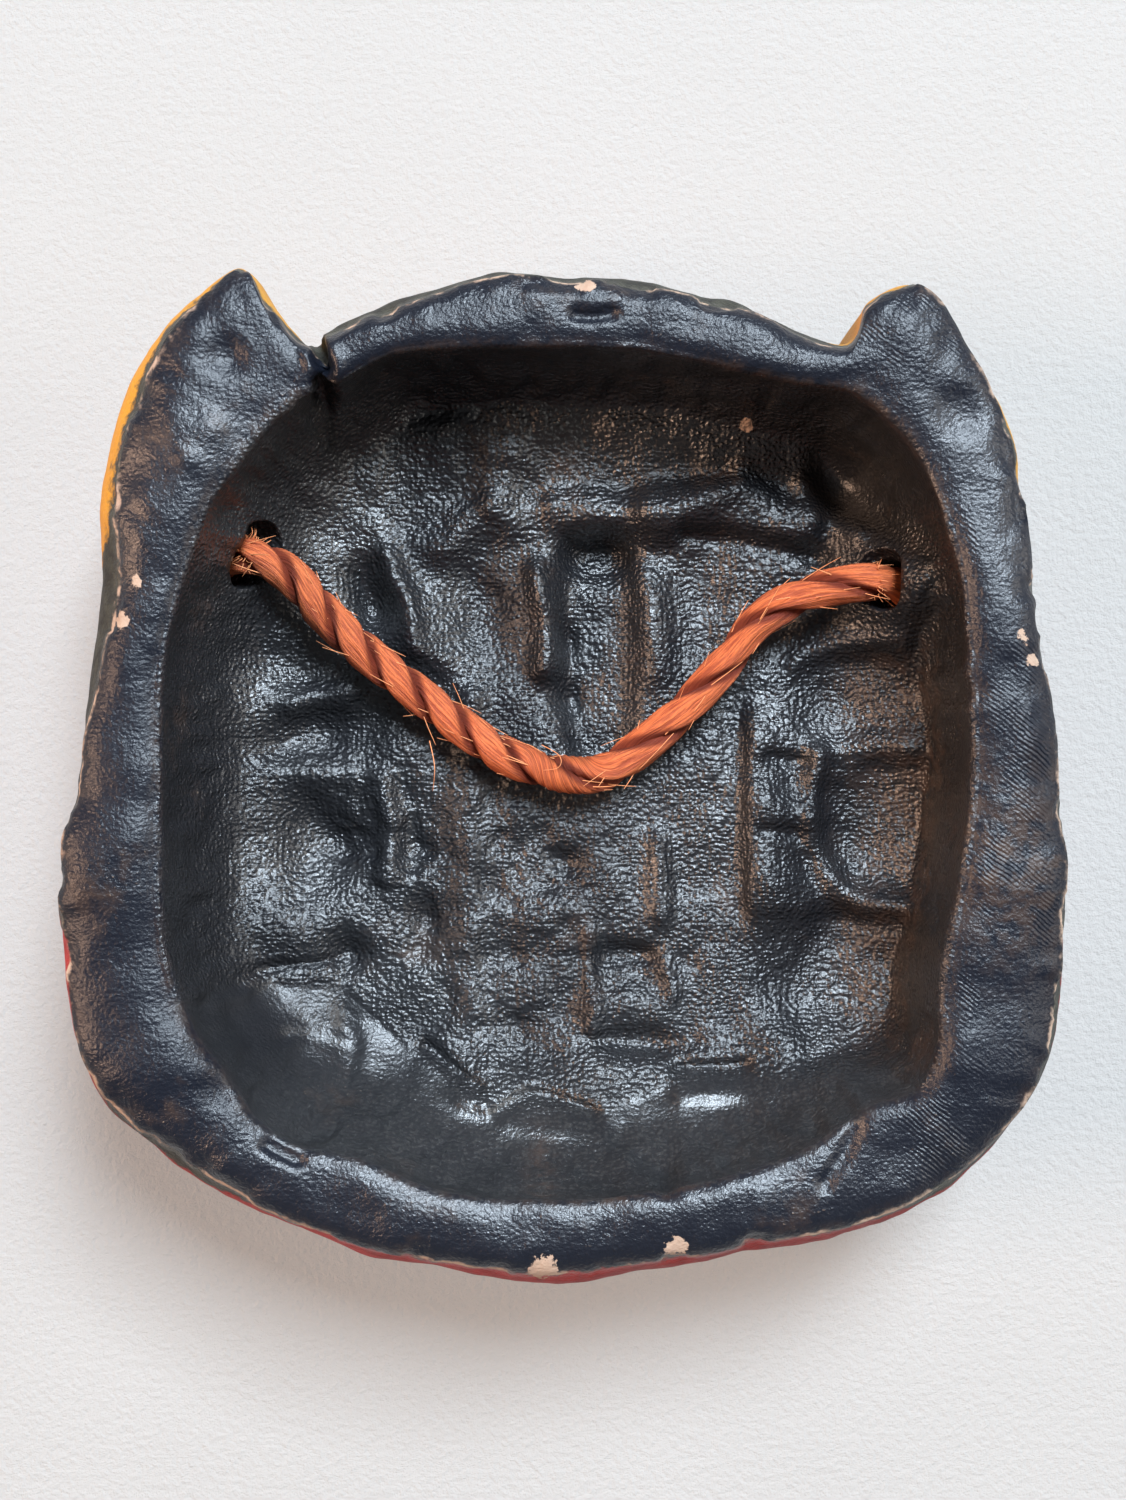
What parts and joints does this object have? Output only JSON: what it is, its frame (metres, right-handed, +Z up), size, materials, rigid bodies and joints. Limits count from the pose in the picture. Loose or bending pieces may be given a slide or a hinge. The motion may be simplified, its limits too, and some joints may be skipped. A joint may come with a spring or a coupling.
{
  "type": "oni mask",
  "caption": "Small horned demon mask of moulded clay, hollow at the back with a rolled lip, lying face down, with a twisted cord knotted through a hole at each temple.",
  "frame": {"origin": "on the plane that the face rests on, under the middle of the clay mask's outline", "axes": "+Z up out of the hollow back, away from the face; +Y to the forehead and horns; +X to the right of someone who looks into the hollow back"},
  "size_m": [0.1381, 0.141, 0.048],
  "materials": {
    "painted_clay": "black satin paint on the hollow back, red on the face and gold on the horns, over fired clay that shows at chips",
    "hemp": "orange-red dyed two-strand hemp cord"
  },
  "bodies": {
    "root": {"mask_body": "painted_clay", "rope": "hemp", "rope_knot_left": "hemp", "rope_knot_right": "hemp"}
  },
  "joints": []
}
